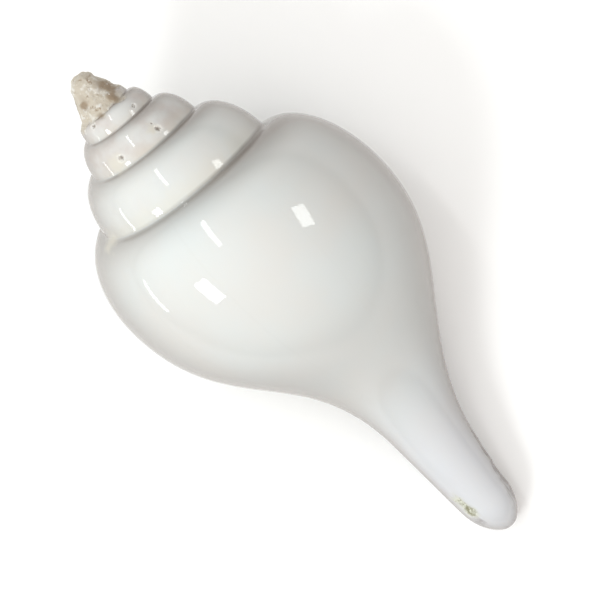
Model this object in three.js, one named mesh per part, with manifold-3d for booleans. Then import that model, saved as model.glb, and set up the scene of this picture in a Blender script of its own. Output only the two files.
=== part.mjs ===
// A polished left-handed conch (sacred chank), grown as one piece: a cone of shell wound round an axis.
//
// Millimetres. The shell is worked out along its own winding axis first:
//   turn  = how far the growing lip had wound, in whole turns; the finished body whorl is near turn 0
//   depth = distance along the axis from the point the spiral shrinks to, towards the canal
//   radius = distance from the axis
// and laid down last: +Z up, +X from the spire to the canal, the mouth underneath.
// Origin: the middle of the box around the shell, on the surface it lies on.
import * as THREE from 'three';
import { mergeVertices } from 'three/addons/utils/BufferGeometryUtils.js';
import Module from 'manifold-3d';

const { smoothstep, lerp, degToRad } = THREE.MathUtils;

// ---- growth of the spiral -------------------------------------------------------------------
const RADIUS_GROWTH = 1.572;      // how much wider each whorl is than the last
const DEPTH_GROWTH = 1.607;       // how much further down the axis it lies
const SUTURE_DEPTH = 31.8;        // the seam between whorls, at turn 0
const CREST_DEPTH = 53.5;         // the widest place of the body whorl, at turn 0
const CREST_RADIUS = 33.2;
const FIRST_TURN = -5.5;          // where the winding starts, at the apex
const LIP_TURN = 0.09;            // where the outer lip ends it

// ---- the seam and the shoulder --------------------------------------------------------------
const SEAM_SOFTNESS = 1.0;        // how far the seam's rounded groove reaches up the older whorl
const SHOULDER_START = degToRad(9);   // where the groove runs out into the shoulder's arc

// ---- body, hollow waist and canal, at three stations of the last turn ------------------------
const STATION_TURNS = [-1, -0.5, 0];
const BULGE = [18, 25.5, 24.5];         // how far the body keeps its width below the crest
const WAIST = [16, 29.5, 25.4];         // how long the hollow curve into the canal is
const CANAL_START = [74, 96.7, 109.0];  // depth at which the canal runs straight
const CANAL_RADIUS = [2.2, 5.8, 7.7];
const CANAL_TAPER = [0.01, 0.003, 0.199];
const CANAL_END = 118.2;                // depth at which the canal's tip starts to round off
const TIP_DEPTH = 128.1;
const TIP_BLUNTNESS = 0.6;               // 0.5 rounds off as an ellipse, more is more pointed
const TIP_ARC = degToRad(68);           // how much of the rounding there is before the end face

// ---- the eroded apex ------------------------------------------------------------------------
const APEX_DEPTH = -1.6;          // the worn tip stands a little above the spiral's own point
const APEX_SWELL = 2.6;           // extra radius there
const APEX_REACH = 6;             // and how far down the swelling fades
const DOME_DEPTH = 1.2;           // the spire's blunt end rounds over from here
const DOME_RADIUS = 3.3;
const SEAMS_WORN_OFF = [-4.6, -3.3];    // above the first turn no seam is left, below the second all of it
const SPIRE_LEAN = 1.43;          // how far the axis leans to the lip's side, at depth 0
const LEAN_DEPTH = 45;            // above this the axis curves over to that side

// ---- mouth, wall and columella --------------------------------------------------------------
const BODY_WALL = 3.2;
const CANAL_WALL = 1.8;
const TIP_WALL = 1.2;
const LIP_BULGE = 1.5;            // how far the rounded lip stands forward of its two edges
const LIP_RETREAT = 0.04;         // turns by which the lip stops short along the canal's open groove
const COLUMELLA_RETREAT = 0.08;   // and the turns left open on the groove's other side
const HOLLOW_TURNS = 2.5;         // how far the hollow winds in from the lip
const HOLLOW_FLOOR = 0.8;         // its floor, as a share of the depth at which the canal starts
const FLOOR_TURNS = 0.5;          // how far in from the lip the canal's groove runs out in that floor
const LEAST_HOLLOW = 0.8;
const FOLD_DEPTHS = [57, 64, 71];       // the columella's three folds, at turn -1
const FOLD_HEIGHT = 1.3;
const FOLD_WIDTH = 2.4;
const FOLDS_END = 0.1;            // turns past the mouth's inner edge in which the folds fade

// ---- how it lies ----------------------------------------------------------------------------
const REST_TILT = degToRad(13.5);       // the spire is raised by this much
const REST_FLAT = 0.15;           // depth of the small worn flats it lies on

// ---- facets ---------------------------------------------------------------------------------
const PER_TURN = 32;
const ROWS = { seam: 2, shoulder: 6, crest: 1, lower: 22, canal: 3, tip: 3 };
const LIP_FOOT_ROWS = 1;          // rows of the lower wall that the lip's upper end takes up
const LOOPS = 28;                 // rings of facets along the hollow
const DOME_RINGS = 3;
const CURVE_HALVINGS = 24;        // steps of the search for a depth on the lower curve

// ---- worked out from the above --------------------------------------------------------------
const QUARTER_TURN = 0.25;
const SHOULDER_REACH = CREST_DEPTH - SUTURE_DEPTH;
// the arc angle at which the next whorl's groove starts on this one
const SEAM_ARC = Math.acos((CREST_DEPTH - (SUTURE_DEPTH - SEAM_SOFTNESS) * DEPTH_GROWTH) / SHOULDER_REACH);
// the seam's radius follows from the next whorl's seam having to lie on this whorl's arc
const seamArcSine = Math.sin(Math.acos((CREST_DEPTH - SUTURE_DEPTH * DEPTH_GROWTH) / SHOULDER_REACH));
const SUTURE_RADIUS = CREST_RADIUS * seamArcSine / (RADIUS_GROWTH - 1 + seamArcSine);

const SEAM_ROW = ROWS.seam + ROWS.shoulder;
const CREST_ROW = SEAM_ROW + ROWS.crest;
const LIP_FOOT_ROW = CREST_ROW + LIP_FOOT_ROWS;
const CANAL_ROW = CREST_ROW + ROWS.lower;
const LAST_ROW = CANAL_ROW + ROWS.canal + ROWS.tip;
const LIP_STEPS = LIP_FOOT_ROW - SEAM_ROW;
const LIP_COLUMN = Math.round((LIP_TURN - FIRST_TURN) * PER_TURN);
const MOUTH_COLUMN = LIP_COLUMN - PER_TURN;     // the older surface that the mouth closes on

const depthScale = (turn) => DEPTH_GROWTH ** turn;
const radiusScale = (turn) => RADIUS_GROWTH ** turn;

/** A value given at the three stations, as a curve through them. Older turns shrink with the shell. */
function atStation(values, turn, scale) {
  const place = (Math.max(turn, STATION_TURNS[0]) - STATION_TURNS[0]) / (STATION_TURNS[1] - STATION_TURNS[0]);
  const [first, middle, last] = values;
  const bend = (last - 2 * middle + first) / 2;
  const value = first + (middle - first) * place + bend * place * (place - 1);
  return value * scale(Math.min(turn - STATION_TURNS[0], 0));
}

/** The shoulder's arc, from the suture (0) to the crest (90 degrees). */
function shoulderPoint(turn, arc) {
  const depth = CREST_DEPTH - SHOULDER_REACH * Math.cos(arc);
  const radius = SUTURE_RADIUS + (CREST_RADIUS - SUTURE_RADIUS) * Math.sin(arc);
  return new THREE.Vector2(depth * depthScale(turn), radius * radiusScale(turn));
}

/** The rounded groove of the seam, from the older whorl to the shoulder. */
function seamCurve(turn) {
  const corner = new THREE.Vector2(SUTURE_DEPTH * depthScale(turn), SUTURE_RADIUS * radiusScale(turn));
  const start = shoulderPoint(turn - 1, SEAM_ARC);
  return new THREE.QuadraticBezierCurve(start, corner, shoulderPoint(turn, SHOULDER_START));
}

function canalAt(turn) {
  return {
    start: atStation(CANAL_START, turn, depthScale),
    radius: atStation(CANAL_RADIUS, turn, radiusScale),
    taper: atStation(CANAL_TAPER, turn, () => 1),
  };
}

/** From the crest down the body and through the waist to the canal. */
function lowerCurve(turn) {
  const canal = canalAt(turn);
  const bulge = atStation(BULGE, turn, depthScale);
  const waist = atStation(WAIST, turn, depthScale);
  const crest = shoulderPoint(turn, Math.PI / 2);
  return new THREE.CubicBezierCurve(
    crest,
    new THREE.Vector2(crest.x + bulge, crest.y),
    new THREE.Vector2(canal.start - waist, canal.radius + canal.taper * waist),
    new THREE.Vector2(canal.start, canal.radius),
  );
}

function canalRadius(turn, depth) {
  const canal = canalAt(turn);
  const straight = canal.radius - canal.taper * (Math.min(depth, CANAL_END) - canal.start);
  const rounding = Math.max(depth - CANAL_END, 0) / (TIP_DEPTH - CANAL_END);
  return straight * Math.max(1 - rounding ** 2, 0) ** TIP_BLUNTNESS;
}

/** Radius of the outer surface below the crest, at any depth. */
function radiusBelowCrest(turn, depth) {
  if (depth > canalAt(turn).start) return canalRadius(turn, depth);
  const curve = lowerCurve(turn);
  let low = 0;
  let high = 1;
  for (let halving = 0; halving < CURVE_HALVINGS; halving += 1) {
    const middle = (low + high) / 2;
    if (curve.getPoint(middle).x < depth) low = middle;
    else high = middle;
  }
  return curve.getPoint(low).y;
}

/** The three folds that wind round the columella. */
function foldHeight(turn, depth) {
  const home = depth / depthScale(turn + 1);
  const past = turn - (LIP_TURN - 1);
  const height = FOLD_HEIGHT * radiusScale(Math.min(past, 0)) * (1 - smoothstep(past, 0, FOLDS_END));
  const bell = (centre) => Math.exp(-(((home - centre) / FOLD_WIDTH) ** 2));
  return height * FOLD_DEPTHS.reduce((sum, centre) => sum + bell(centre), 0);
}

/** The arc angle of a row between the suture and the crest. */
function rowArc(row) {
  if (row <= ROWS.seam) return SHOULDER_START * row / ROWS.seam;
  if (row <= SEAM_ROW) return lerp(SHOULDER_START, SEAM_ARC, (row - ROWS.seam) / ROWS.shoulder);
  return lerp(SEAM_ARC, Math.PI / 2, (row - SEAM_ROW) / ROWS.crest);
}

/** A point of the outer surface on one row, before the apex is worn down. */
function outerPoint(turn, row) {
  if (row < ROWS.seam) return seamCurve(turn).getPoint(row / ROWS.seam);
  if (row <= CREST_ROW) return shoulderPoint(turn, rowArc(row));
  if (row <= CANAL_ROW) {
    const point = lowerCurve(turn).getPoint((row - CREST_ROW) / ROWS.lower);
    point.y += foldHeight(turn, point.x);
    return point;
  }
  const canalStep = (row - CANAL_ROW) / ROWS.canal;
  const tipArc = TIP_ARC * (row - CANAL_ROW - ROWS.canal) / ROWS.tip;
  const depth = canalStep <= 1
    ? lerp(canalAt(turn).start, CANAL_END, canalStep)
    : CANAL_END + (TIP_DEPTH - CANAL_END) * Math.sin(tipArc);
  return new THREE.Vector2(depth, canalRadius(turn, depth));
}

/** The upper whorls lose their seams and swell into one blunt, worn cone. */
function wornPoint(turn, row) {
  const point = outerPoint(turn, row);
  const kept = smoothstep(turn, ...SEAMS_WORN_OFF);
  if (kept < 1 && row <= SEAM_ROW) {
    const start = outerPoint(turn, 0);
    const end = outerPoint(turn, SEAM_ROW);
    point.lerp(start.lerp(end, row / SEAM_ROW), 1 - kept);
  }
  point.y += APEX_SWELL * Math.exp(-((point.x / APEX_REACH) ** 2));
  return point;
}

/** The turns at which a row meets the lip and the mouth's other side. They draw apart along the canal. */
const canalShare = (row) => smoothstep(row, LIP_FOOT_ROW, CANAL_ROW);
const lipTurn = (row) => LIP_TURN - LIP_RETREAT * canalShare(row);
const columellaTurn = (row) => LIP_TURN - 1 + COLUMELLA_RETREAT * canalShare(row);

/** Winds a depth and a radius round the axis. */
function wind(turn, point) {
  const angle = 2 * Math.PI * turn;
  return new THREE.Vector3(point.x, point.y * Math.cos(angle), -point.y * Math.sin(angle));
}

const columnTurn = (column) => LIP_TURN - (LIP_COLUMN - column) / PER_TURN;

function sheetPoint(column, row) {
  const newness = Math.max(column - MOUTH_COLUMN, 0) / PER_TURN;
  const turn = column < MOUTH_COLUMN ? columnTurn(column) : lerp(columellaTurn(row), lipTurn(row), newness);
  return wind(turn, wornPoint(turn, row));
}

/** Depth of the hollow's floor, a number of turns in from the lip. */
function floorDepth(inward) {
  const floor = HOLLOW_FLOOR * atStation(CANAL_START, LIP_TURN - inward, depthScale);
  const tip = outerPoint(LIP_TURN, LAST_ROW).x;
  const open = (1 - Math.min(inward / FLOOR_TURNS, 1) ** 2) ** 2;
  return lerp(floor, tip, open);
}

function wallAt(turn, depth) {
  const scale = radiusScale(Math.min(turn, 0));
  const body = lerp(BODY_WALL * scale, CANAL_WALL, smoothstep(depth, CREST_DEPTH, CANAL_START[2]));
  return lerp(body, TIP_WALL, smoothstep(depth, CANAL_START[2], TIP_DEPTH));
}

/** The hollow's inner side: the surface of the whorl before, with the columella. */
function innerSide(inward, row) {
  const turn = columellaTurn(row) - inward;
  const foot = outerPoint(turn, LIP_FOOT_ROW);
  const mouthTurn = columellaTurn(row);
  const mouthFoot = outerPoint(mouthTurn, LIP_FOOT_ROW).x;
  const share = (outerPoint(mouthTurn, row).x - mouthFoot) / (outerPoint(mouthTurn, LAST_ROW).x - mouthFoot);
  const depth = lerp(foot.x, floorDepth(inward), share);
  return wind(turn, new THREE.Vector2(depth, radiusBelowCrest(turn, depth) + foldHeight(turn, depth)));
}

/** The hollow's outer side: the inside of the wall. */
function outerSide(inward, row) {
  const turn = lipTurn(row) - inward;
  const crest = shoulderPoint(turn, Math.PI / 2);
  if (row <= CREST_ROW) {
    const foot = outerPoint(turn - 1, LIP_FOOT_ROW);
    const arc = rowArc(row);
    const crestRadius = crest.y - wallAt(turn, crest.x);
    const depth = crest.x - (crest.x - foot.x) * Math.cos(arc);
    return wind(turn, new THREE.Vector2(depth, foot.y + (crestRadius - foot.y) * Math.sin(arc)));
  }
  const lipCrest = shoulderPoint(LIP_TURN, Math.PI / 2).x;
  const share = (outerPoint(LIP_TURN, row).x - lipCrest) / (outerPoint(LIP_TURN, LAST_ROW).x - lipCrest);
  const depth = lerp(crest.x, floorDepth(inward), share);
  const inside = radiusBelowCrest(turn, depth) - wallAt(turn, depth);
  const least = radiusBelowCrest(turn - 1, depth) + LEAST_HOLLOW;
  return wind(turn, new THREE.Vector2(depth, Math.max(inside, least)));
}

/** Collects points and triangles; a point is named, so that surfaces which meet share it. */
class Skin {
  constructor() {
    this.positions = [];
    this.triangles = [];
    this.names = new Map();
  }

  point(name, make) {
    if (!this.names.has(name)) {
      this.names.set(name, this.positions.length);
      this.positions.push(make());
    }
    return this.names.get(name);
  }

  quad(a, b, c, d) {
    this.triangle(a, b, c);
    this.triangle(a, c, d);
  }

  triangle(a, b, c) {
    if (a !== b && b !== c && c !== a) this.triangles.push(a, b, c);
  }

  /** Closes a ring of points with a fan round one more. */
  fan(ring, centre) {
    ring.forEach((point, place) => this.triangle(point, ring[(place + 1) % ring.length], centre));
  }
}

/** Outer surface: a ribbon wound round the axis, each turn's edge on the seam of the one before. */
function outer(skin, column, row) {
  if (row === 0 && column >= PER_TURN) return outer(skin, column - PER_TURN, SEAM_ROW);
  return skin.point(`outer ${column} ${row}`, () => sheetPoint(column, row));
}

function addOuterSurface(skin) {
  for (let column = 0; column < LIP_COLUMN; column += 1) {
    const rows = column < MOUTH_COLUMN ? SEAM_ROW : LAST_ROW;
    for (let row = 0; row < rows; row += 1) {
      skin.quad(
        outer(skin, column, row),
        outer(skin, column, row + 1),
        outer(skin, column + 1, row + 1),
        outer(skin, column + 1, row),
      );
    }
  }
}

/** A point of the blunt dome over the first turn; its rings stand half a column back from the ribbon's. */
function dome(skin, ring, column) {
  const place = column % PER_TURN;
  return skin.point(`dome ${ring} ${place}`, () => {
    const rise = Math.PI / 2 * ring / DOME_RINGS;
    const depth = lerp(DOME_DEPTH, APEX_DEPTH, Math.sin(rise));
    return wind(columnTurn(place - 0.5), new THREE.Vector2(depth, DOME_RADIUS * Math.cos(rise)));
  });
}

function addApex(skin) {
  for (let row = 0; row < SEAM_ROW; row += 1) {
    skin.triangle(dome(skin, 0, 0), outer(skin, 0, row + 1), outer(skin, 0, row));
  }
  for (let column = 0; column < PER_TURN; column += 1) {
    skin.quad(
      dome(skin, 0, column),
      outer(skin, column, 0),
      outer(skin, column + 1, 0),
      dome(skin, 0, column + 1),
    );
    for (let ring = 1; ring < DOME_RINGS; ring += 1) {
      skin.quad(
        dome(skin, ring, column),
        dome(skin, ring - 1, column),
        dome(skin, ring - 1, column + 1),
        dome(skin, ring, column + 1),
      );
    }
  }
  const ring = Array.from({ length: PER_TURN }, (_, column) => dome(skin, DOME_RINGS - 1, column));
  skin.fan(ring, skin.point('apex', () => new THREE.Vector3(APEX_DEPTH, 0, 0)));
}

/** The lip, rounded over from the outer surface to the inside of the wall. */
function lip(skin, row, step) {
  if (step === 0) return outer(skin, LIP_COLUMN, row);
  if (row === 0) return outer(skin, MOUTH_COLUMN, SEAM_ROW + step);
  if (step === LIP_STEPS) return hollow(skin, 0, row);
  return skin.point(`lip ${row} ${step}`, () => {
    const across = step / LIP_STEPS;
    const forward = wind(lipTurn(row) + QUARTER_TURN, new THREE.Vector2(0, 1));
    const bulge = LIP_BULGE * Math.sin(Math.PI * across) * smoothstep(row, 0, CREST_ROW)
      * (1 - smoothstep(row, CANAL_ROW, LAST_ROW));
    return sheetPoint(LIP_COLUMN, row).lerp(outerSide(0, row), across).addScaledVector(forward, bulge);
  });
}

/** The hollow's rings: the outer side's rows, then the inner side's, back up from the floor. */
const INNER_ROWS = LAST_ROW - LIP_FOOT_ROW;
const RING_LENGTH = LAST_ROW + 1 + INNER_ROWS;

function hollow(skin, loop, place) {
  const inward = HOLLOW_TURNS * loop / LOOPS;
  if (place % RING_LENGTH === 0) {
    return loop === 0
      ? outer(skin, MOUTH_COLUMN, LIP_FOOT_ROW)
      : skin.point(`hollow ${loop} foot`, () => innerSide(inward, LIP_FOOT_ROW));
  }
  if (place <= LAST_ROW) return skin.point(`hollow ${loop} ${place}`, () => outerSide(inward, place));
  const row = LAST_ROW - (place - LAST_ROW - 1);
  if (loop === 0) return outer(skin, MOUTH_COLUMN, row);
  return skin.point(`hollow ${loop} ${place}`, () => innerSide(inward, row));
}

function addLip(skin) {
  for (let row = 0; row < LAST_ROW; row += 1) {
    for (let step = 0; step < LIP_STEPS; step += 1) {
      skin.quad(
        lip(skin, row, step),
        lip(skin, row + 1, step),
        lip(skin, row + 1, step + 1),
        lip(skin, row, step + 1),
      );
    }
  }
}

function addHollow(skin) {
  for (let loop = 0; loop < LOOPS; loop += 1) {
    for (let place = 0; place < RING_LENGTH; place += 1) {
      skin.quad(
        hollow(skin, loop, place),
        hollow(skin, loop, place + 1),
        hollow(skin, loop + 1, place + 1),
        hollow(skin, loop + 1, place),
      );
    }
  }
  const ring = Array.from({ length: RING_LENGTH }, (_, place) => hollow(skin, LOOPS, place));
  const end = skin.point('hollow end', () => {
    const middle = new THREE.Vector3();
    ring.forEach((point) => middle.addScaledVector(skin.positions[point], 1 / ring.length));
    return middle;
  });
  skin.fan(ring, end);
}

/** The canal's end face, with the groove's end in it. */
function addTip(skin) {
  const ring = [];
  for (let column = MOUTH_COLUMN; column < LIP_COLUMN; column += 1) ring.push(outer(skin, column, LAST_ROW));
  for (let step = 0; step <= LIP_STEPS; step += 1) ring.push(lip(skin, LAST_ROW, step));
  ring.reverse();
  skin.fan(ring, skin.point('tip', () => new THREE.Vector3(TIP_DEPTH, 0, 0)));
}

function skinGeometry(skin) {
  const geometry = new THREE.BufferGeometry();
  const values = skin.positions.flatMap((point) => point.toArray());
  geometry.setAttribute('position', new THREE.Float32BufferAttribute(values, 3));
  geometry.setIndex(skin.triangles);
  return geometry;
}

/** Curves the upper part of the axis over, and the whorls with it. */
function leanSpire(geometry) {
  const points = geometry.getAttribute('position');
  for (let index = 0; index < points.count; index += 1) {
    const share = Math.max(1 - points.getX(index) / LEAN_DEPTH, 0);
    points.setY(index, points.getY(index) + SPIRE_LEAN * share ** 2);
  }
  return geometry;
}

/** Lays the shell down, with the origin under the middle of it. */
function layDown(geometry) {
  geometry.rotateY(REST_TILT);
  geometry.computeBoundingBox();
  const box = geometry.boundingBox;
  const middle = box.getCenter(new THREE.Vector3());
  geometry.translate(-middle.x, -middle.y, -box.min.z - REST_FLAT);
  return geometry;
}

const wasm = await Module();
wasm.setup();

function toManifold(geometry) {
  const vertProperties = new Float32Array(geometry.getAttribute('position').array);
  const triVerts = new Uint32Array(geometry.getIndex().array);
  return new wasm.Manifold(new wasm.Mesh({ numProp: 3, vertProperties, triVerts }));
}

function toGeometry(manifold) {
  const mesh = manifold.getMesh();
  const geometry = new THREE.BufferGeometry();
  geometry.setAttribute('position', new THREE.BufferAttribute(mesh.vertProperties, 3));
  geometry.setIndex(new THREE.BufferAttribute(mesh.triVerts, 1));
  return geometry;
}

/** Wears the lowest places flat, at the surface the shell lies on. */
function wearFlat(geometry) {
  const side = 2 * TIP_DEPTH;
  const below = new THREE.BoxGeometry(side, side, side);
  below.translate(0, 0, -side / 2);
  below.deleteAttribute('normal');
  below.deleteAttribute('uv');
  return toGeometry(toManifold(geometry).subtract(toManifold(mergeVertices(below))));
}

function makeShell() {
  const skin = new Skin();
  addOuterSurface(skin);
  addApex(skin);
  addLip(skin);
  addHollow(skin);
  addTip(skin);
  return wearFlat(layDown(leanSpire(skinGeometry(skin))));
}

const porcelain = new THREE.MeshStandardMaterial({ color: '#ebe9e4', roughness: 0.14, metalness: 0 });

const conch = new THREE.Group();
conch.name = 'conch_shell';
const shell = new THREE.Mesh(makeShell(), porcelain);
shell.name = 'shell';
conch.add(shell);

export default conch;
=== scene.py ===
"""A polished left-handed conch (sacred chank), white and glassy, worn chalky at the apex.

Metres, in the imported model's frame. The shell is worked out along its own winding axis:
  turn    how far the growing lip had wound, in whole turns; the finished body whorl is near turn 0
  depth   distance along the axis from the point that the spiral shrinks to, towards the canal
  radius  distance from the axis
and is then laid down on its mouth, as the CAD solid lies.
"""

from math import acos, cos, pi, radians, sin, tau

import bpy
import numpy as np
from mathutils import Matrix, Vector, noise


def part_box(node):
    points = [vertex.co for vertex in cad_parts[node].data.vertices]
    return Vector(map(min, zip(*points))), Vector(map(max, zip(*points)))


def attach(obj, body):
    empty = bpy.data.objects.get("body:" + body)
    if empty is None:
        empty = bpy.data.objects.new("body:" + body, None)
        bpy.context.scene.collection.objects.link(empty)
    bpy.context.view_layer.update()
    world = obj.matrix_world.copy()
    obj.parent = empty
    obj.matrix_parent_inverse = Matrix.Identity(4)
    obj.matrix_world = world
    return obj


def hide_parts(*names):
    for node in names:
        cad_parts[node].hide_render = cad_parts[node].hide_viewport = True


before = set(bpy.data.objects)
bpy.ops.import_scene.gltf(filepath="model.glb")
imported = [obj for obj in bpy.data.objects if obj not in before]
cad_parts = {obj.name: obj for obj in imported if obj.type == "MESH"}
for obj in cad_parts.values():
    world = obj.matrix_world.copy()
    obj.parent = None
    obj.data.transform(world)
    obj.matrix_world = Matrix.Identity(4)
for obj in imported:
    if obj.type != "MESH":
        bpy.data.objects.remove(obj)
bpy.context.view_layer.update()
CAD_LOW, CAD_HIGH = (np.array(corner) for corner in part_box("shell"))

# ---- growth of the spiral ---------------------------------------------------------------------
RADIUS_GROWTH = 1.572           # how much wider each whorl is than the last
DEPTH_GROWTH = 1.607            # how much further down the axis it lies
SUTURE_DEPTH = 0.0318           # the seam between whorls, at turn 0
CREST_DEPTH = 0.0535            # the widest place of the body whorl, at turn 0
CREST_RADIUS = 0.0332
FIRST_TURN = -5.5               # where the winding starts, at the apex
LIP_TURN = 0.09                 # where the outer lip ends it

# ---- the seam and the shoulder ----------------------------------------------------------------
SEAM_SOFTNESS = 0.0004          # how far the seam's rounded groove reaches up the older whorl
SHOULDER_START = radians(9)     # where the groove runs out into the shoulder's arc

# ---- body, hollow waist and canal, at three stations of the last turn --------------------------
STATION_TURNS = (-1.0, -0.5, 0.0)
BULGE = (0.0180, 0.0255, 0.0245)         # how far the body keeps its width below the crest
WAIST = (0.0160, 0.0295, 0.0254)         # how long the hollow curve into the canal is
CANAL_START = (0.0740, 0.0967, 0.1090)   # depth at which the canal runs straight
CANAL_RADIUS = (0.0022, 0.0058, 0.0077)
CANAL_TAPER = (0.010, 0.003, 0.199)
CANAL_END = 0.1182                       # depth at which the canal's tip starts to round off
TIP_DEPTH = 0.1281
TIP_BLUNTNESS = 0.6                      # 0.5 rounds off as an ellipse, more is more pointed
TIP_ARC = radians(68)                    # how much of the rounding there is before the end face

# ---- the worn apex ----------------------------------------------------------------------------
APEX_DEPTH = -0.0016            # the worn tip stands a little above the spiral's own point
APEX_SWELL = 0.0026             # extra radius there
APEX_REACH = 0.0060             # and how far down the swelling fades
DOME_DEPTH = 0.0012             # the spire's blunt end rounds over from here
DOME_RADIUS = 0.0033
SEAMS_WORN_OFF = (-4.6, -3.3)   # above the first turn no seam is left, below the second all of it
SPIRE_LEAN = 0.00143            # how far the axis leans to the lip's side, at depth 0
LEAN_DEPTH = 0.045              # above this the axis curves over to that side

# ---- mouth, wall and columella ----------------------------------------------------------------
BODY_WALL = 0.0032
CANAL_WALL = 0.0018
TIP_WALL = 0.0012
LIP_BULGE = 0.0015              # how far the rounded lip stands forward of its two edges
LIP_RETREAT = 0.04              # turns by which the lip stops short along the canal's open groove
COLUMELLA_RETREAT = 0.08        # and the turns left open on the groove's other side
HOLLOW_TURNS = 2.5              # how far the hollow winds in from the lip
HOLLOW_FLOOR = 0.8              # its floor, as a share of the depth at which the canal starts
FLOOR_TURNS = 0.5               # how far in from the lip the canal's groove runs out in that floor
LEAST_HOLLOW = 0.0008
FOLD_DEPTHS = (0.057, 0.064, 0.071)      # the columella's three folds, at turn -1
FOLD_HEIGHT = 0.0013
FOLD_WIDTH = 0.0024
FOLDS_END = 0.1                 # turns past the mouth's inner edge in which the folds fade

# ---- how it lies ------------------------------------------------------------------------------
REST_TILT = radians(13.5)       # the spire is raised by this much
REST_FLAT = 0.00015             # depth of the small worn flats it lies on

# ---- facets -----------------------------------------------------------------------------------
PER_TURN = 150
SEAM_ROWS, SHOULDER_ROWS, CREST_ROWS, LOWER_ROWS, CANAL_ROWS, TIP_ROWS = 6, 22, 3, 88, 14, 10
LIP_FOOT_ROWS = 4               # rows of the lower wall that the lip's upper end takes up
LOOPS = 130                     # rings of facets along the hollow
DOME_RINGS = 12
CURVE_HALVINGS = 24             # how closely a depth is found on the lower curve
QUARTER_TURN = 0.25

SHOULDER_REACH = CREST_DEPTH - SUTURE_DEPTH
# the arc angle at which the next whorl's groove starts on this one
SEAM_ARC = acos((CREST_DEPTH - (SUTURE_DEPTH - SEAM_SOFTNESS) * DEPTH_GROWTH) / SHOULDER_REACH)
# the seam's radius follows from the next whorl's seam having to lie on this whorl's arc
SEAM_ARC_SINE = sin(acos((CREST_DEPTH - SUTURE_DEPTH * DEPTH_GROWTH) / SHOULDER_REACH))
SUTURE_RADIUS = CREST_RADIUS * SEAM_ARC_SINE / (RADIUS_GROWTH - 1 + SEAM_ARC_SINE)

SEAM_ROW = SEAM_ROWS + SHOULDER_ROWS
CREST_ROW = SEAM_ROW + CREST_ROWS
LIP_FOOT_ROW = CREST_ROW + LIP_FOOT_ROWS
CANAL_ROW = CREST_ROW + LOWER_ROWS
LAST_ROW = CANAL_ROW + CANAL_ROWS + TIP_ROWS
LIP_STEPS = LIP_FOOT_ROW - SEAM_ROW
LIP_COLUMN = round((LIP_TURN - FIRST_TURN) * PER_TURN)
MOUTH_COLUMN = LIP_COLUMN - PER_TURN     # the older surface that the mouth closes on


# ---- the outline, in depth and radius, for arrays of turns --------------------------------------
def smoothstep(value, low, high):
    share = np.clip((value - low) / (high - low), 0, 1)
    return share * share * (3 - 2 * share)


def mix(first, second, share):
    return first + (second - first) * share


def at_station(values, turn, growth):
    """A curve through the values at the three stations; before the first it shrinks with the shell."""
    first, middle, last = values
    place = (np.maximum(turn, STATION_TURNS[0]) - STATION_TURNS[0]) / (STATION_TURNS[1] - STATION_TURNS[0])
    bend = (last - 2 * middle + first) / 2
    value = first + (middle - first) * place + bend * place * (place - 1)
    return value * growth ** np.minimum(turn - STATION_TURNS[0], 0)


def shoulder(turn, arc):
    """The shoulder's arc, from the suture (0) to the crest (90 degrees)."""
    depth = CREST_DEPTH - SHOULDER_REACH * np.cos(arc)
    radius = SUTURE_RADIUS + (CREST_RADIUS - SUTURE_RADIUS) * np.sin(arc)
    return depth * DEPTH_GROWTH**turn, radius * RADIUS_GROWTH**turn


def bezier(points, share):
    """De Casteljau's construction, on (depth, radius) points."""
    while len(points) > 1:
        points = [tuple(mix(a, b, share) for a, b in zip(one, two)) for one, two in zip(points, points[1:])]
    return points[0]


def seam(turn, share):
    """The rounded groove of the seam, from the older whorl to the shoulder."""
    corner = SUTURE_DEPTH * DEPTH_GROWTH**turn, SUTURE_RADIUS * RADIUS_GROWTH**turn
    return bezier([shoulder(turn - 1, SEAM_ARC), corner, shoulder(turn, SHOULDER_START)], share)


def lower(turn, share):
    """From the crest down the body and through the waist to the canal."""
    start = at_station(CANAL_START, turn, DEPTH_GROWTH)
    radius = at_station(CANAL_RADIUS, turn, RADIUS_GROWTH)
    taper = at_station(CANAL_TAPER, turn, 1.0)
    bulge = at_station(BULGE, turn, DEPTH_GROWTH)
    waist = at_station(WAIST, turn, DEPTH_GROWTH)
    crest = shoulder(turn, pi / 2)
    after_crest = crest[0] + bulge, crest[1]
    before_canal = start - waist, radius + taper * waist
    return bezier([crest, after_crest, before_canal, (start, radius)], share)


def canal_radius(turn, depth):
    start = at_station(CANAL_START, turn, DEPTH_GROWTH)
    taper = at_station(CANAL_TAPER, turn, 1.0)
    along = np.minimum(depth, CANAL_END) - start
    straight = at_station(CANAL_RADIUS, turn, RADIUS_GROWTH) - taper * along
    rounding = np.maximum(depth - CANAL_END, 0) / (TIP_DEPTH - CANAL_END)
    return straight * np.maximum(1 - rounding**2, 0) ** TIP_BLUNTNESS


def radius_below_crest(turn, depth):
    """Radius of the outer surface below the crest, at any depth."""
    turn, depth = np.broadcast_arrays(turn, depth)
    low, high = np.zeros(depth.shape), np.ones(depth.shape)
    for _ in range(CURVE_HALVINGS):
        middle = (low + high) / 2
        short = lower(turn, middle)[0] < depth
        low, high = np.where(short, middle, low), np.where(short, high, middle)
    start = at_station(CANAL_START, turn, DEPTH_GROWTH)
    return np.where(depth > start, canal_radius(turn, depth), lower(turn, low)[1])


def fold_height(turn, depth):
    """The three folds that wind round the columella."""
    home = depth / DEPTH_GROWTH ** (turn + 1)
    past = turn - (LIP_TURN - 1)
    bells = sum(np.exp(-(((home - centre) / FOLD_WIDTH) ** 2)) for centre in FOLD_DEPTHS)
    return FOLD_HEIGHT * (1 - smoothstep(past, 0, FOLDS_END)) * RADIUS_GROWTH ** np.minimum(past, 0) * bells


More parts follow.
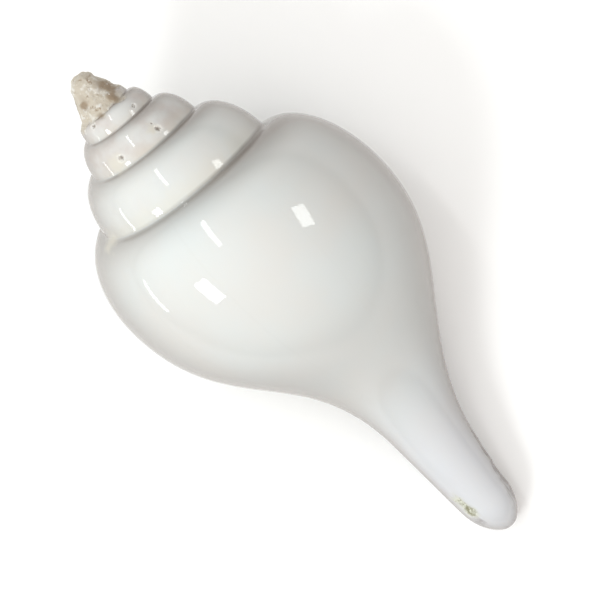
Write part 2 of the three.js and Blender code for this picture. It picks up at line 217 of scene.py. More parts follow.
def row_arc(row):
    """The arc angle of a row between the suture and the crest."""
    stops = [0, SEAM_ROWS, SEAM_ROW, CREST_ROW]
    return np.interp(row, stops, [0, SHOULDER_START, SEAM_ARC, pi / 2])


def outline(turn, row):
    """Depth and radius of the outer surface on one row, before the apex is worn down."""
    if row < SEAM_ROWS:
        return seam(turn, row / SEAM_ROWS)
    if row <= CREST_ROW:
        return shoulder(turn, row_arc(row))
    if row <= CANAL_ROW:
        depth, radius = lower(turn, (row - CREST_ROW) / LOWER_ROWS)
        return depth, radius + fold_height(turn, depth)
    if row <= CANAL_ROW + CANAL_ROWS:
        depth = mix(at_station(CANAL_START, turn, DEPTH_GROWTH), CANAL_END, (row - CANAL_ROW) / CANAL_ROWS)
    else:
        tip_arc = TIP_ARC * (row - CANAL_ROW - CANAL_ROWS) / TIP_ROWS
        depth = CANAL_END + (TIP_DEPTH - CANAL_END) * sin(tip_arc) + 0 * turn
    return depth, canal_radius(turn, depth)


def worn_outline(turn, row):
    """The upper whorls lose their seams and swell into one blunt, worn cone."""
    depth, radius = outline(turn, row)
    if row <= SEAM_ROW:
        worn = 1 - smoothstep(turn, *SEAMS_WORN_OFF)
        start, end = outline(turn, 0), outline(turn, SEAM_ROW)
        depth = mix(depth, mix(start[0], end[0], row / SEAM_ROW), worn)
        radius = mix(radius, mix(start[1], end[1], row / SEAM_ROW), worn)
    return depth, radius + APEX_SWELL * np.exp(-((depth / APEX_REACH) ** 2))


def wind(turn, depth, radius):
    """Winds depths and radii round the axis."""
    turn, depth, radius = np.broadcast_arrays(turn, depth, radius)
    return np.stack([depth, radius * np.cos(tau * turn), -radius * np.sin(tau * turn)], -1)


# ---- the sheets of the surface ------------------------------------------------------------------
def canal_share(row):
    return smoothstep(row, LIP_FOOT_ROW, CANAL_ROW)


def lip_turn(row):
    return LIP_TURN - LIP_RETREAT * canal_share(row)


def columella_turn(row):
    return LIP_TURN - 1 + COLUMELLA_RETREAT * canal_share(row)


def column_turn(column):
    return LIP_TURN - (LIP_COLUMN - column) / PER_TURN


def floor_depth(inward):
    """Depth of the hollow's floor, a number of turns in from the lip."""
    floor = HOLLOW_FLOOR * at_station(CANAL_START, LIP_TURN - inward, DEPTH_GROWTH)
    opened = (1 - np.minimum(inward / FLOOR_TURNS, 1) ** 2) ** 2
    return mix(floor, outline(LIP_TURN, LAST_ROW)[0], opened)


def wall(turn, depth):
    scale = RADIUS_GROWTH ** np.minimum(turn, 0)
    body = mix(BODY_WALL * scale, CANAL_WALL, smoothstep(depth, CREST_DEPTH, CANAL_START[2]))
    return mix(body, TIP_WALL, smoothstep(depth, CANAL_START[2], TIP_DEPTH))


def inner_side(inward, row):
    """The hollow's inner side: the surface of the whorl before, with the columella."""
    mouth_turn = columella_turn(row)
    turn = mouth_turn - inward
    mouth_foot, mouth_end = outline(mouth_turn, LIP_FOOT_ROW)[0], outline(mouth_turn, LAST_ROW)[0]
    share = (outline(mouth_turn, row)[0] - mouth_foot) / (mouth_end - mouth_foot)
    depth = mix(outline(turn, LIP_FOOT_ROW)[0], floor_depth(inward), share)
    radius = outline(turn, row)[1] if row == LIP_FOOT_ROW else radius_below_crest(turn, depth)
    return wind(turn, depth, radius + fold_height(turn, depth))


def outer_side(inward, row):
    """The hollow's outer side: the inside of the wall."""
    turn = lip_turn(row) - inward
    crest_depth, crest_radius = shoulder(turn, pi / 2)
    if row <= CREST_ROW:
        foot_depth, foot_radius = outline(turn - 1, LIP_FOOT_ROW)
        arc = row_arc(row)
        rise = (crest_depth - foot_depth) * cos(arc)
        reach = crest_radius - wall(turn, crest_depth) - foot_radius
        return wind(turn, crest_depth - rise, foot_radius + reach * sin(arc))
    lip_crest, lip_end = shoulder(LIP_TURN, pi / 2)[0], outline(LIP_TURN, LAST_ROW)[0]
    share = (outline(LIP_TURN, row)[0] - lip_crest) / (lip_end - lip_crest)
    depth = mix(crest_depth, floor_depth(inward), share)
    inside = radius_below_crest(turn, depth) - wall(turn, depth)
    return wind(turn, depth, np.maximum(inside, radius_below_crest(turn - 1, depth) + LEAST_HOLLOW))


class Skin:
    """Collects points and faces; sheets that meet are given the same point numbers along their edge."""

    def __init__(self):
        self.points = np.zeros((0, 3))
        self.faces = []

    def add(self, points):
        numbers = len(self.points) + np.arange(points.size // 3).reshape(points.shape[:-1])
        self.points = np.vstack([self.points, points.reshape(-1, 3)])
        return numbers

    def sheet(self, numbers):
        """Faces between neighbouring rows and columns of point numbers; -1 is a place with no surface."""
        corners = numbers[:-1, :-1], numbers[:-1, 1:], numbers[1:, 1:], numbers[1:, :-1]
        for face in np.stack(corners, -1).reshape(-1, 4).tolist():
            kept = [point for place, point in enumerate(face) if point != face[place - 1]]
            if min(face) >= 0 and len(kept) >= 3:
                self.faces.append(kept)

    def fan(self, ring, centre):
        """Closes a ring of points round one more."""
        middle = int(self.add(np.array([centre]))[0])
        for place, point in enumerate(ring):
            following = ring[(place + 1) % len(ring)]
            if point != following:
                self.faces.append([int(point), int(following), middle])


def add_outside(skin):
    """A ribbon wound round the axis, each turn's edge on the seam of the one before."""
    columns = np.arange(LIP_COLUMN + 1)
    newness = (columns - MOUTH_COLUMN) / PER_TURN
    numbers = np.full((LIP_COLUMN + 1, LAST_ROW + 1), -1)
    for row in range(LAST_ROW + 1):
        newest_turn = mix(columella_turn(row), lip_turn(row), newness)
        turn = np.where(newness < 0, column_turn(columns), newest_turn)
        first = 0 if row <= SEAM_ROW else MOUTH_COLUMN
        last = PER_TURN - 1 if row == 0 else LIP_COLUMN
        kept = slice(first, last + 1)
        numbers[kept, row] = skin.add(wind(turn[kept], *worn_outline(turn[kept], row)))
    numbers[PER_TURN:, 0] = numbers[:-PER_TURN, SEAM_ROW]
    skin.sheet(numbers)
    return numbers


def add_apex(skin, outside):
    """A blunt dome over the first turn, its rings half a column back from the ribbon's columns."""
    turn = column_turn(np.arange(PER_TURN) - 0.5)
    rings = []
    for ring in range(DOME_RINGS):
        rise = pi / 2 * ring / DOME_RINGS
        depth = mix(DOME_DEPTH, APEX_DEPTH, sin(rise))
        numbers = skin.add(wind(turn, depth, DOME_RADIUS * cos(rise)))
        rings.append(np.append(numbers, numbers[0]))
    skin.sheet(np.array([*rings[::-1], outside[: PER_TURN + 1, 0]]).T)
    step = outside[0, : SEAM_ROW + 1]
    for older, newer in zip(step[1:], step[:-1]):
        skin.faces.append([int(rings[0][0]), int(older), int(newer)])
    skin.fan(rings[-1][:-1], (APEX_DEPTH, 0, 0))


def add_lip(skin, outside):
    """The lip, rounded over from the outer surface to the inside of the wall."""
    rows = np.arange(1, LAST_ROW + 1)
    outer_edge = outside[LIP_COLUMN]
    inner_edge = np.array([outer_side(0.0, row) for row in rows])
    inner_numbers = skin.add(inner_edge)
    forward = -wind(lip_turn(rows) - QUARTER_TURN, 0.0, 1.0)
    strength = LIP_BULGE * smoothstep(rows, 0, CREST_ROW) * (1 - smoothstep(rows, CANAL_ROW, LAST_ROW))
    numbers = np.zeros((LAST_ROW + 1, LIP_STEPS + 1), int)
    numbers[0] = outside[MOUTH_COLUMN, SEAM_ROW : LIP_FOOT_ROW + 1]
    numbers[1:, 0] = outer_edge[1:]
    numbers[1:, LIP_STEPS] = inner_numbers
    for step in range(1, LIP_STEPS):
        across = step / LIP_STEPS
        edge = mix(skin.points[outer_edge[1:]], inner_edge, across)
        numbers[1:, step] = skin.add(edge + forward * (strength * sin(pi * across))[:, None])
    skin.sheet(numbers.T)
    return numbers


def add_hollow(skin, outside, lip):
    """Rings along the hollow: down the wall's inside, then up the columella to where it started."""
    down = [range(1, LAST_ROW + 1), outer_side]
    up = [range(LAST_ROW, LIP_FOOT_ROW - 1, -1), inner_side]
    inward = HOLLOW_TURNS * np.arange(1, LOOPS + 1) / LOOPS
    sides = [np.array([side(inward, row) for row in rows]) for rows, side in (down, up)]
    numbers = skin.add(np.concatenate(sides))
    mouth = np.concatenate([lip[1:, LIP_STEPS], outside[MOUTH_COLUMN, LAST_ROW : LIP_FOOT_ROW - 1 : -1]])
    rings = np.column_stack([mouth, numbers])
    skin.sheet(np.vstack([rings, rings[:1]]).T)
    skin.fan(rings[:, -1], skin.points[rings[:, -1]].mean(0))


def add_tip(skin, outside, lip):
    """The canal's end face, with the groove's end in it."""
    ring = np.concatenate([outside[MOUTH_COLUMN:LIP_COLUMN, LAST_ROW], lip[LAST_ROW]])
    skin.fan(ring[::-1], (TIP_DEPTH, 0, 0))


def lean(points):
    """Curves the upper part of the axis over, and the whorls with it."""
    share = np.maximum(1 - points[:, 0] / LEAN_DEPTH, 0)
    return points + np.outer(share**2, (0, SPIRE_LEAN, 0))


def lay_down(points):
    """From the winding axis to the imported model's frame, resting on flats worn at its lowest places."""
    turned = points @ np.array(Matrix.Rotation(REST_TILT, 3, "Y")).T
    low, high = turned.min(0), turned.max(0)
    scale = ((CAD_HIGH - CAD_LOW) / (high - low - (0, 0, REST_FLAT))).min()
    offset = (CAD_LOW + CAD_HIGH - scale * (low + high)) / 2
    offset[2] = CAD_LOW[2] - scale * (low[2] + REST_FLAT)
    return turned * scale + offset, scale, offset


# ---- wear: chalky apex, pits and the canal's stained edge; and painted shade below the seams ------
WORN_DEPTH = (0.0058, 0.0078)   # chalky above the first depth, polished below the second
WORN_EDGE = (300, 0.0016)       # that border wanders: waves a metre, and how far
# how the surface is cut: (waves a metre, depth, octaves)
APEX_ROUGHNESS = ((900, 0.00022, 3), (330, 0.00045, 3))
POLISH_WAVES = ((55, 0.00005, 2), (160, 0.000015, 2))    # the polished surface isn't quite even
EDGE_NICKS = (1500, 0.00035, 2)    # nor is the canal's edge, where it is stained or grimed
FRACTAL = (0.7, 2.1)            # how much weaker and how much finer each octave is
PATCH_RAGGEDNESS = (900, 0.4)   # waves a metre along a mark's edge, and how far they reach
PATCH_EDGE = (0.35, 1.25)       # a mark fades between these shares of its half width
# places on the spire: (turn, depth along the axis, width)
PITS = (
    (-2.18, 0.0157, 0.0013),
    (-2.31, 0.0148, 0.0013),
    (-2.18, 0.0141, 0.0006),
    (-3.15, 0.0099, 0.0009),
    (-3.35, 0.0073, 0.0011),
    (-3.42, 0.0072, 0.0008),
    (-4.37, 0.0040, 0.0010),
    (-5.35, 0.0008, 0.0008),
)
PIT_DEPTH = 0.0003              # at its middle
BROWN_PATCHES = (
    (-4.09, 0.0045, 0.0050),
    (-5.12, 0.0030, 0.0038),
    (-5.36, 0.0034, 0.0026),
    (-4.16, 0.0058, 0.0032),
    (-3.30, 0.0068, 0.0024),
)
CREAM_PATCHES = ((-2.33, 0.0150, 0.0042), (-2.19, 0.0150, 0.0026), (-1.44, 0.0268, 0.0060))
# and along the canal's edge
STAINS = ((-0.375, 0.1184, 0.0036), (-0.38, 0.1163, 0.0026), (-0.38, 0.1145, 0.0024))
GRIME = (
    (-0.01, 0.1080, 0.0036),
    (-0.02, 0.1120, 0.0044),
    (-0.03, 0.1160, 0.0048),
    (-0.05, 0.1190, 0.0044),
    (-0.08, 0.1218, 0.0036),
    (-0.40, 0.1215, 0.0030),
)
CREAM_REACH, SHADE_REACH = 0.4, 0.5    # shares of the shoulder that is creamy above a seam, and grey with painted shade below it
SEAM_SHADE_SHARES = (0.15, 0.95)        # least and most painted shade below the seams
# where the painted shade below the seams is darkest
DARKEST_SEAM_TURN = -0.02


def fractal(points, waves, octaves):
    """Even noise about zero, one value a point."""
    return np.array([noise.fractal(Vector(point) * waves, *FRACTAL, octaves) for point in points])


def cut_by(points, waves, depth, octaves):
    """How deep an uneven surface is cut at each point, between nothing and this depth."""
    return depth * (0.5 + 0.5 * fractal(points, waves, octaves))


def on_shell(turn, depth):
    """The place of a mark on the spire or the body, on the winding axis."""
    rows = range(SEAM_ROWS, LAST_ROW + 1)
    depths, radii = np.array([worn_outline(turn, row) for row in rows]).T
    return wind(turn, depth, np.interp(depth, depths, radii))


def patch(points, places, ragged):
    """How far each point lies inside any of these round marks, from 0 to 1."""
    inside = np.zeros(len(points))
    for turn, depth, width in places:
        away = np.linalg.norm(points - on_shell(turn, depth), axis=1) / (width / 2) * ragged
        inside = np.maximum(inside, 1 - smoothstep(away, *PATCH_EDGE))
    return inside


def wear_of(points):
    """How worn, browned, creamy and stained each point is, from 0 to 1, and how deep the wear cuts."""
    border_waves, border_reach = WORN_EDGE
    worn = 1 - smoothstep(points[:, 0] + fractal(points, border_waves, 3) * border_reach, *WORN_DEPTH)
    patch_waves, patch_raggedness = PATCH_RAGGEDNESS
    ragged = 1 + patch_raggedness * fractal(points, patch_waves, 2)
    marks = {
        "worn": worn,
        "browned": patch(points, BROWN_PATCHES, ragged),
        "creamy": patch(points, CREAM_PATCHES, ragged),
        "stained": patch(points, STAINS, ragged),
        "grimed": patch(points, GRIME, ragged),
    }
    cut = sum(cut_by(points, *waves) for waves in APEX_ROUGHNESS) * worn
    cut += sum(cut_by(points, *waves) for waves in POLISH_WAVES)
    cut += cut_by(points, *EDGE_NICKS) * np.maximum(marks["stained"], marks["grimed"])
    cut += PIT_DEPTH * patch(points, PITS, ragged)
    return marks, cut


def seam_shade_share(turn):
    """How much painted shade lies below the seam at a turn: most on the lip's side, least opposite."""
    return mix(*SEAM_SHADE_SHARES, (0.5 + 0.5 * np.cos(tau * (turn - DARKEST_SEAM_TURN))) ** 2)


def row_marks(outside, count):
    """How old each point of the surface is, in turns, how near a seam it lies above it, and how much
    painted shade it takes below one.
    """
    age = np.full(count, LIP_TURN)
    above, below = np.zeros(count), np.zeros(count)
    rows = np.arange(LAST_ROW + 1)
    row_above = (1 - smoothstep(SEAM_ROW - rows, 0, CREAM_REACH * SHOULDER_ROWS)) * (rows <= SEAM_ROW)
    row_below = 1 - smoothstep(rows - SEAM_ROWS, 0, SHADE_REACH * SHOULDER_ROWS)
    for column in range(LIP_COLUMN + 1):
        here = outside[column] >= 0
        numbers = outside[column][here]
        age[numbers] = column_turn(column)
        above[numbers] = np.maximum(above[numbers], row_above[here] * (column < MOUTH_COLUMN))
        below[numbers] = np.maximum(below[numbers], row_below[here] * seam_shade_share(column_turn(column)))
    return {"age": age, "above_seam": above, "shade_below_seam": below}


def add_marks(mesh, marks):
    for name, values in marks.items():
        mark = mesh.attributes.new(name, "FLOAT", "POINT")
        mark.data.foreach_set("value", np.asarray(values, np.float32))


def make_skin():
    """The closed surface on the winding axis, its outside's point numbers, and 1 for each point inside."""
    skin = Skin()
    outside = add_outside(skin)
    add_apex(skin, outside)
    lip = add_lip(skin, outside)
    inside_from = len(skin.points)
    add_hollow(skin, outside, lip)
    inside_to = len(skin.points)
    add_tip(skin, outside, lip)
    inside = np.zeros(len(skin.points))
    inside[inside_from:inside_to] = 1
    return skin, outside, inside


def make_shell():
    """The shell, worn and laid down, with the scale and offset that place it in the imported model."""
    skin, outside, inside = make_skin()
    mesh = bpy.data.meshes.new("shell")
    mesh.from_pydata(skin.points.tolist(), [], skin.faces)
    normals = np.zeros(len(mesh.vertices) * 3)
    mesh.vertices.foreach_get("normal", normals)
    marks, cut = wear_of(skin.points)
    marks.update(row_marks(outside, len(skin.points)))
    marks["inside"] = inside
    worn_down = skin.points - normals.reshape(-1, 3) * (cut * (1 - inside))[:, None]

    points, scale, offset = lay_down(lean(worn_down))
    points[:, 2] = np.maximum(points[:, 2], CAD_LOW[2])
    mesh.vertices.foreach_set("co", points.ravel())
    mesh.update()
    mesh.shade_smooth()
    add_marks(mesh, marks)
    shell = bpy.data.objects.new("shell_skin", mesh)
    bpy.context.scene.collection.objects.link(shell)
    return shell, scale, offset


# ---- the polished shell's material -------------------------------------------------------------
def srgb(red, green, blue):
    """A colour given as screen values up to 255, none of them near black."""
    return (*(((value / 255 + 0.055) / 1.055) ** 2.4 for value in (red, green, blue)), 1.0)


COOL_WHITE = srgb(216, 220, 219)
WARM_WHITE = srgb(218, 218, 215)
CANAL_WHITE = srgb(211, 213, 219)
OLD_WHORLS = srgb(196, 187, 182)
GROWTH_LINE = srgb(206, 206, 202)
# painted shade for the shell's edges, where the surface turns away from the camera
EDGE_SHADE_GREY = srgb(134, 124, 117)
# painted shade for the shoulder just below each seam
SEAM_SHADE = srgb(136, 130, 124)
SEAM_CREAM = srgb(221, 216, 200)
INSIDE_CREAM = srgb(226, 208, 186)
CHALK_TAN = srgb(194, 185, 170)
CHALK_PALE = srgb(218, 215, 208)
CHALK_BROWN = srgb(148, 130, 108)
PIT_BROWN = srgb(150, 141, 132)
CHALK_WHITE = srgb(240, 238, 232)
CREAM = srgb(212, 206, 191)
STAIN_GREEN = srgb(208, 209, 188)
STAIN_DARK = srgb(128, 126, 98)
GRIME_GREY = srgb(136, 129, 127)

PLAIN_FACING = 0.5              # the blend that makes facing 0 head-on and 1 edge-on, by the cosine
EDGE_SHADE_SPREAD = (0.15, 1.08)      # painted shade: the milky white greys between these, as the surface turns edge-on to the camera
OLD_TURNS = (-1.1, -2.3, 0.0, 0.9)       # the older whorls are duller from the first turn to the second
CANAL_TINT = (0.015, 0.045, 0.0, 0.7)    # the canal is bluer from the first place along X to the second

# shares of a colour where its mark is full
CREAM_SHARE = 0.6
SEAM_CREAM_SHARE = 0.35
STAIN_SHARE = 0.75
BROWN_SHARE = 0.95
# a painted highlight round each pit's edge
PIT_HIGHLIGHT_SHARE = 0.4
# a pit's depth and its painted highlight, a pale ring on its edge, in half widths from its middle
PIT_DEEP = (1.0, 0.35)
PIT_HIGHLIGHT_EDGE = (1.7, 1.05)
PIT_BUMP = 2.0                  # how deep a pit's relief is against the chalk's grain

# noises spread into shares: (waves a metre, octaves, roughness), (from, to, and the shares there)
CLOUDS = (45.0, 2.0, 0.5), (0.35, 0.65, 0.0, 1.0)
GROWTH_LINES = (60.0, 4.0, 0.7), (0.55, 0.80, 0.0, 0.3)
MOTTLE = (170.0, 3.0, 0.5), (0.35, 0.65, 0.3, 1.0)
CHALK_PATCHES = (420.0, 3.0, 0.6), (0.50, 0.66, 0.0, 1.0)
CHALK_BROWNING = (650.0, 4.0, 0.7), (0.54, 0.70, 0.0, 1.0)
CHALK_SPECKS = (2300.0, 2.0, 0.5), (0.66, 0.74, 0.0, 1.0)
STAIN_DIRT = (1100.0, 3.0, 0.6), (0.42, 0.60, 0.0, 1.0)
GRIME_MOTTLE = (900.0, 3.0, 0.6), (0.35, 0.65, 0.25, 0.75)
PIT_RAGGEDNESS = (2600.0, 2.0, 0.5), (0.3, 0.7, -0.25, 0.25)
CHALK_GRAIN = (2600.0, 4.0, 0.65)

# how dull a stained or grimed place is, a worn one being 1
STAIN_DULLNESS = 0.6
GRIME_DULLNESS = 0.4
ROUGHNESS = (0.05, 0.62)        # polished, and fully worn
BUMP_STRENGTH, BUMP_DEPTH = 0.6, 0.0002
SHELL_IOR = 1.53
MILKINESS, MILKY_DEPTH = 0.15, 0.003
MILKY_SPREAD = (1.0, 0.85, 0.7)


class Shader:
    """A material's nodes, made and joined in one call each."""

    def __init__(self, tree):
        self.tree = tree
        self.tree.nodes.clear()

    def node(self, kind, inputs=None, **settings):
        made = self.tree.nodes.new(kind)
        for name, value in settings.items():
            setattr(made, name, value)
        for key, value in (inputs or {}).items():
            self.put(made.inputs[key], value)
        return made

    def put(self, socket, value):
        if isinstance(value, bpy.types.NodeSocket):
            self.tree.links.new(value, socket)
        else:
            socket.default_value = value

    def mark(self, name):
        return self.node("ShaderNodeAttribute", attribute_name=name).outputs["Fac"]

    def noise(self, place, scale, detail, roughness):
        inputs = {"Vector": place, "Scale": scale, "Detail": detail, "Roughness": roughness}
        return self.node("ShaderNodeTexNoise", inputs).outputs["Fac"]

    def spread(self, value, low, high, to_low=0.0, to_high=1.0):
        inputs = {"Value": value, "From Min": low, "From Max": high, "To Min": to_low, "To Max": to_high}
        return self.node("ShaderNodeMapRange", inputs, interpolation_type="SMOOTHSTEP").outputs["Result"]

    def pattern(self, place, waves, shares):
        """Cloudy noise spread into shares."""
        return self.spread(self.noise(place, *waves), *shares)

    def math(self, operation, first, second):
        return self.node("ShaderNodeMath", {0: first, 1: second}, operation=operation).outputs[0]

    def times(self, first, second):
        return self.math("MULTIPLY", first, second)

    def larger(self, first, second):
        return self.math("MAXIMUM", first, second)

    def blend(self, share, first, second):
        inputs = {"Factor": share, "A": first, "B": second}
        made = self.node("ShaderNodeMix", data_type="RGBA")
        for name, value in inputs.items():
            socket = next(s for s in made.inputs if s.name == name and s.enabled)
            self.put(socket, value)
        return next(s for s in made.outputs if s.enabled)


def new_material(name):
    material = bpy.data.materials.new(name)
    material.use_nodes = True
    return material, Shader(material.node_tree)


def pit_shares(shader, place, pits):
    """How deep in a pit a point lies, and how near the painted highlight on a pit's edge, from 0 to 1."""
    ragged = shader.pattern(place, *PIT_RAGGEDNESS)
    deep, pit_highlight = 0.0, 0.0
    for centre, width in pits:
        away = shader.node("ShaderNodeVectorMath", {0: place, 1: centre}, operation="DISTANCE")
        half_widths = shader.math("DIVIDE", away.outputs["Value"], width / 2)
        share = shader.math("ADD", half_widths, ragged)
        deep = shader.larger(shader.spread(share, *PIT_DEEP), deep)
        pit_highlight = shader.larger(shader.spread(share, *PIT_HIGHLIGHT_EDGE), pit_highlight)
    return deep, pit_highlight


def polish_colour(shader, place):
    """Milky white, cooler and warmer in clouds, with faint growth lines, painted shade below the seams and
    painted shade greying the edges.
    """
    colour = shader.blend(shader.pattern(place, *CLOUDS), COOL_WHITE, WARM_WHITE)
    age = shader.node("ShaderNodeCombineXYZ", {"X": shader.mark("age")}).outputs[0]
    colour = shader.blend(shader.pattern(age, *GROWTH_LINES), colour, GROWTH_LINE)
    along = shader.node("ShaderNodeSeparateXYZ", {"Vector": place}).outputs["X"]
    colour = shader.blend(shader.spread(along, *CANAL_TINT), colour, CANAL_WHITE)
    mottle = shader.pattern(place, *MOTTLE)
    old = shader.times(shader.spread(shader.mark("age"), *OLD_TURNS), mottle)
    colour = shader.blend(old, colour, OLD_WHORLS)
    cream = shader.times(shader.mark("above_seam"), shader.times(mottle, SEAM_CREAM_SHARE))
    colour = shader.blend(cream, colour, SEAM_CREAM)
    # painted shade on the shoulder just below each seam, darkest on the lip's side
    colour = shader.blend(shader.mark("shade_below_seam"), colour, SEAM_SHADE)
    colour = shader.blend(shader.mark("inside"), colour, INSIDE_CREAM)
    # painted shade: the colour greys as the surface turns edge-on to the camera
    turned_away = shader.node("ShaderNodeLayerWeight", {"Blend": PLAIN_FACING}).outputs["Facing"]
    return shader.blend(shader.spread(turned_away, *EDGE_SHADE_SPREAD), colour, EDGE_SHADE_GREY)


def chalk_colour(shader, place):
    """The worn apex: tan, with paler and browner patches and white specks."""
    colour = shader.blend(shader.pattern(place, *CHALK_PATCHES), CHALK_TAN, CHALK_PALE)
    brown = shader.larger(shader.pattern(place, *CHALK_BROWNING), shader.mark("browned"))
    colour = shader.blend(shader.times(brown, BROWN_SHARE), colour, CHALK_BROWN)
    return shader.blend(shader.pattern(place, *CHALK_SPECKS), colour, CHALK_WHITE)


def marked_colour(shader, place, deep, pit_highlight):
    """The polish, with the chalky apex, the canal's stain and grime, and the pits with their painted
    highlights over it.
    """
    stained = shader.mark("stained")
    colour = polish_colour(shader, place)
    colour = shader.blend(shader.times(shader.mark("creamy"), CREAM_SHARE), colour, CREAM)
    colour = shader.blend(shader.mark("worn"), colour, chalk_colour(shader, place))
    colour = shader.blend(shader.times(stained, STAIN_SHARE), colour, STAIN_GREEN)
    dirt = shader.times(shader.times(stained, stained), shader.pattern(place, *STAIN_DIRT))
    colour = shader.blend(dirt, colour, STAIN_DARK)
    grime = shader.times(shader.mark("grimed"), shader.pattern(place, *GRIME_MOTTLE))
    colour = shader.blend(grime, colour, GRIME_GREY)
    # painted highlight: a chalk-white ring round each pit
    colour = shader.blend(shader.times(pit_highlight, PIT_HIGHLIGHT_SHARE), colour, CHALK_WHITE)
    return shader.blend(deep, colour, PIT_BROWN)


def dullness(shader, deep):
    """How much of the gloss is gone, from 0 to 1."""
    stain = shader.times(shader.mark("stained"), STAIN_DULLNESS)
    grime = shader.times(shader.mark("grimed"), GRIME_DULLNESS)
    return shader.larger(shader.larger(shader.mark("worn"), deep), shader.larger(stain, grime))


def shell_material(pits):
    material, shader = new_material("polished_shell")
    place = shader.node("ShaderNodeTexCoord").outputs["Object"]
    deep, pit_highlight = pit_shares(shader, place, pits)
    dull = dullness(shader, deep)
    grain = shader.times(shader.noise(place, *CHALK_GRAIN), dull)
    height = shader.math("SUBTRACT", grain, shader.times(deep, PIT_BUMP))
    relief = {"Height": height, "Strength": BUMP_STRENGTH, "Distance": BUMP_DEPTH}
    bump = shader.node("ShaderNodeBump", relief)
    surface = shader.node("ShaderNodeBsdfPrincipled", {
        "Base Color": marked_colour(shader, place, deep, pit_highlight),
        "Roughness": shader.spread(dull, 0.0, 1.0, *ROUGHNESS),
        "Normal": bump.outputs["Normal"],
        "IOR": SHELL_IOR,
        "Subsurface Weight": MILKINESS,
        "Subsurface Radius": MILKY_SPREAD,
        "Subsurface Scale": MILKY_DEPTH,
    })
    shader.node("ShaderNodeOutputMaterial", {"Surface": surface.outputs["BSDF"]})
    return material


# ---- studio: floor, lights, camera --------------------------------------------------------------
VIEW_TILT = radians(13.7)        # the axis against the picture's plane, the apex nearer
VIEW_SLOPE = radians(45.1)       # and how steeply it slopes down to the right
VIEW_CENTRE = (0.0625, 0.0017, 0)   # where the camera looks, along and across the winding axis
VIEW_WIDTH = 0.120               # how much of the shell's plane the picture takes in
VIEW_DISTANCE = 0.60
SENSOR_WIDTH = 0.036
MM_PER_METRE = 1000              # cameras are measured in millimetres
CLIP_START = 0.01
FLOOR_SIDE = 3.0
FLOOR_FADE = (0.08, 0.70)        # the floor greys between these distances from the shell: a painted pool of light round it, painted shade further out
FLOOR_ROUGHNESS = 0.9
FLOOR_NEAR = srgb(253, 253, 253)
FLOOR_FAR = srgb(165, 165, 165)
LIGHT_DISTANCE = 1.0
# The directions below are along the picture's right, up and towards the camera.
# Soft glows that fill the room: (direction, how narrow, colour times brightness)
GLOWS = (
    ((0.26, -0.22, 0.94), 2.0, (0.87, 0.83, 0.80)),
    ((0.00, 0.00, 1.00), 1.0, (0.15, 0.145, 0.145)),
    ((-0.90, 0.10, 0.38), 2.0, (0.88, 0.93, 0.93)),
)
# Windows: (direction, direction of the long side, sides, brightness)
WINDOWS = {
    "right_window": ((0.60, 0.42, 0.68), (0.125, -0.23, 0.035), (0.265, 0.165), 6.0),
    "left_window": ((-0.40, -0.58, 0.69), (0.225, -0.22, -0.045), (0.318, 0.180), 16.0),
    "door_gap": ((-0.46, 0.28, 0.84), (0.30, -0.49, 0.35), (0.670, 0.060), 8.0),
    "low_gap": ((-0.85, -0.53, 0.08), (0.15, -0.47, 0.00), (0.460, 0.045), 8.0),
}
ROOM_LIGHT = (0.15, 0.145, 0.14)    # and what comes evenly from everywhere
WINDOW_COLOUR = (0.97, 1.0, 0.99)


def view_axes():
    """The picture's right, up and towards-the-camera directions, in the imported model's frame."""
    down_axis = Matrix.Rotation(REST_TILT - VIEW_TILT, 3, "Y") @ Vector((1, 0, 0))
    across = Vector((0, 1, 0))
    right = cos(VIEW_SLOPE) * down_axis + sin(VIEW_SLOPE) * across
    up = cos(VIEW_SLOPE) * across - sin(VIEW_SLOPE) * down_axis
    return right, up, right.cross(up)


def look_matrix(right, up, back, place):
    return Matrix.Translation(place) @ Matrix((right, up, back)).transposed().to_4x4()


def add_camera(centre):
    data = bpy.data.cameras.new("camera")
    data.sensor_width = MM_PER_METRE * SENSOR_WIDTH
    data.lens = data.sensor_width * VIEW_DISTANCE / VIEW_WIDTH
    data.clip_start = CLIP_START
    camera = bpy.data.objects.new("camera", data)
    right, up, back = view_axes()
    camera.matrix_world = look_matrix(right, up, back, centre + back * VIEW_DISTANCE)
    bpy.context.scene.collection.objects.link(camera)
    bpy.context.scene.camera = camera


def from_view(direction):
    """A direction given in the picture's axes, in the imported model's frame."""
    return sum((axis * share for axis, share in zip(view_axes(), direction)), Vector()).normalized()


def add_window(name, centre, direction, long_side, sides, brightness):
    """A rectangle of light that faces the shell, as bright as this whatever its size."""
    back, right = from_view(direction), from_view(long_side)
    right = (right - back * right.dot(back)).normalized()
    data = bpy.data.lights.new(name, "AREA")
    data.shape = "RECTANGLE"
    data.size, data.size_y = sides
    data.energy = pi * sides[0] * sides[1] * brightness
    data.color = WINDOW_COLOUR
    light = bpy.data.objects.new(name, data)
    light.matrix_world = look_matrix(right, back.cross(right), back, centre + back * LIGHT_DISTANCE)
    bpy.context.scene.collection.objects.link(light)


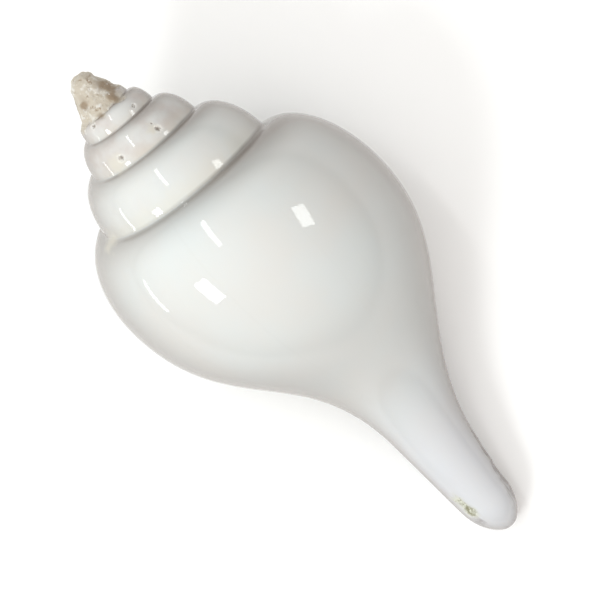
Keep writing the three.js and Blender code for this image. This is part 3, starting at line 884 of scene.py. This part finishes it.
def add_floor():
    mesh = bpy.data.meshes.new("floor")
    half = FLOOR_SIDE / 2
    corners = [(-half, -half, 0), (half, -half, 0), (half, half, 0), (-half, half, 0)]
    mesh.from_pydata(corners, [], [(0, 1, 2, 3)])
    floor = bpy.data.objects.new("floor", mesh)
    floor.location.z = CAD_LOW[2]
    bpy.context.scene.collection.objects.link(floor)
    material, shader = new_material("pale_floor")
    place = shader.node("ShaderNodeTexCoord").outputs["Object"]
    away = shader.node("ShaderNodeVectorMath", {0: place}, operation="LENGTH").outputs["Value"]
    surface = shader.node("ShaderNodeBsdfPrincipled", {
        # painted pool of light: pale near the shell, greying to painted shade far off
        "Base Color": shader.blend(shader.spread(away, *FLOOR_FADE), FLOOR_NEAR, FLOOR_FAR),
        "Roughness": FLOOR_ROUGHNESS,
        "Specular IOR Level": 0.0,
    })
    shader.node("ShaderNodeOutputMaterial", {"Surface": surface.outputs["BSDF"]})
    mesh.materials.append(material)


def add_glows():
    """A world of soft glows, each fading smoothly away from its own direction."""
    world = bpy.data.worlds.new("studio")
    world.use_nodes = True
    shader = Shader(world.node_tree)
    place = shader.node("ShaderNodeTexCoord").outputs["Generated"]
    total = ROOM_LIGHT
    for direction, narrowness, colour in GLOWS:
        towards = {0: place, 1: from_view(direction)}
        facing = shader.node("ShaderNodeVectorMath", towards, operation="DOT_PRODUCT").outputs["Value"]
        fade = shader.math("POWER", shader.larger(facing, 0.0), narrowness)
        glow = shader.node("ShaderNodeVectorMath", {0: colour, "Scale": fade}, operation="SCALE").outputs[0]
        total = shader.node("ShaderNodeVectorMath", {0: glow, 1: total}, operation="ADD").outputs[0]
    background = shader.node("ShaderNodeBackground", {"Color": total})
    shader.node("ShaderNodeOutputWorld", {"Surface": background.outputs["Background"]})
    bpy.context.scene.world = world


def main():
    shell, scale, offset = make_shell()

    def packed(point):
        """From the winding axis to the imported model's frame, as the shell was laid down."""
        turned = Matrix.Rotation(REST_TILT, 3, "Y") @ Vector(lean(np.array([point]))[0])
        return turned * scale + Vector(offset)

    pits = [(packed(on_shell(turn, depth)), width) for turn, depth, width in PITS]
    shell.data.materials.append(shell_material(pits))
    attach(shell, "root")
    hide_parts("shell")

    centre = packed(VIEW_CENTRE)
    add_camera(centre)
    add_floor()
    add_glows()
    for name, window in WINDOWS.items():
        add_window(name, centre, *window)
    bpy.context.scene.view_settings.view_transform = "Standard"


main()
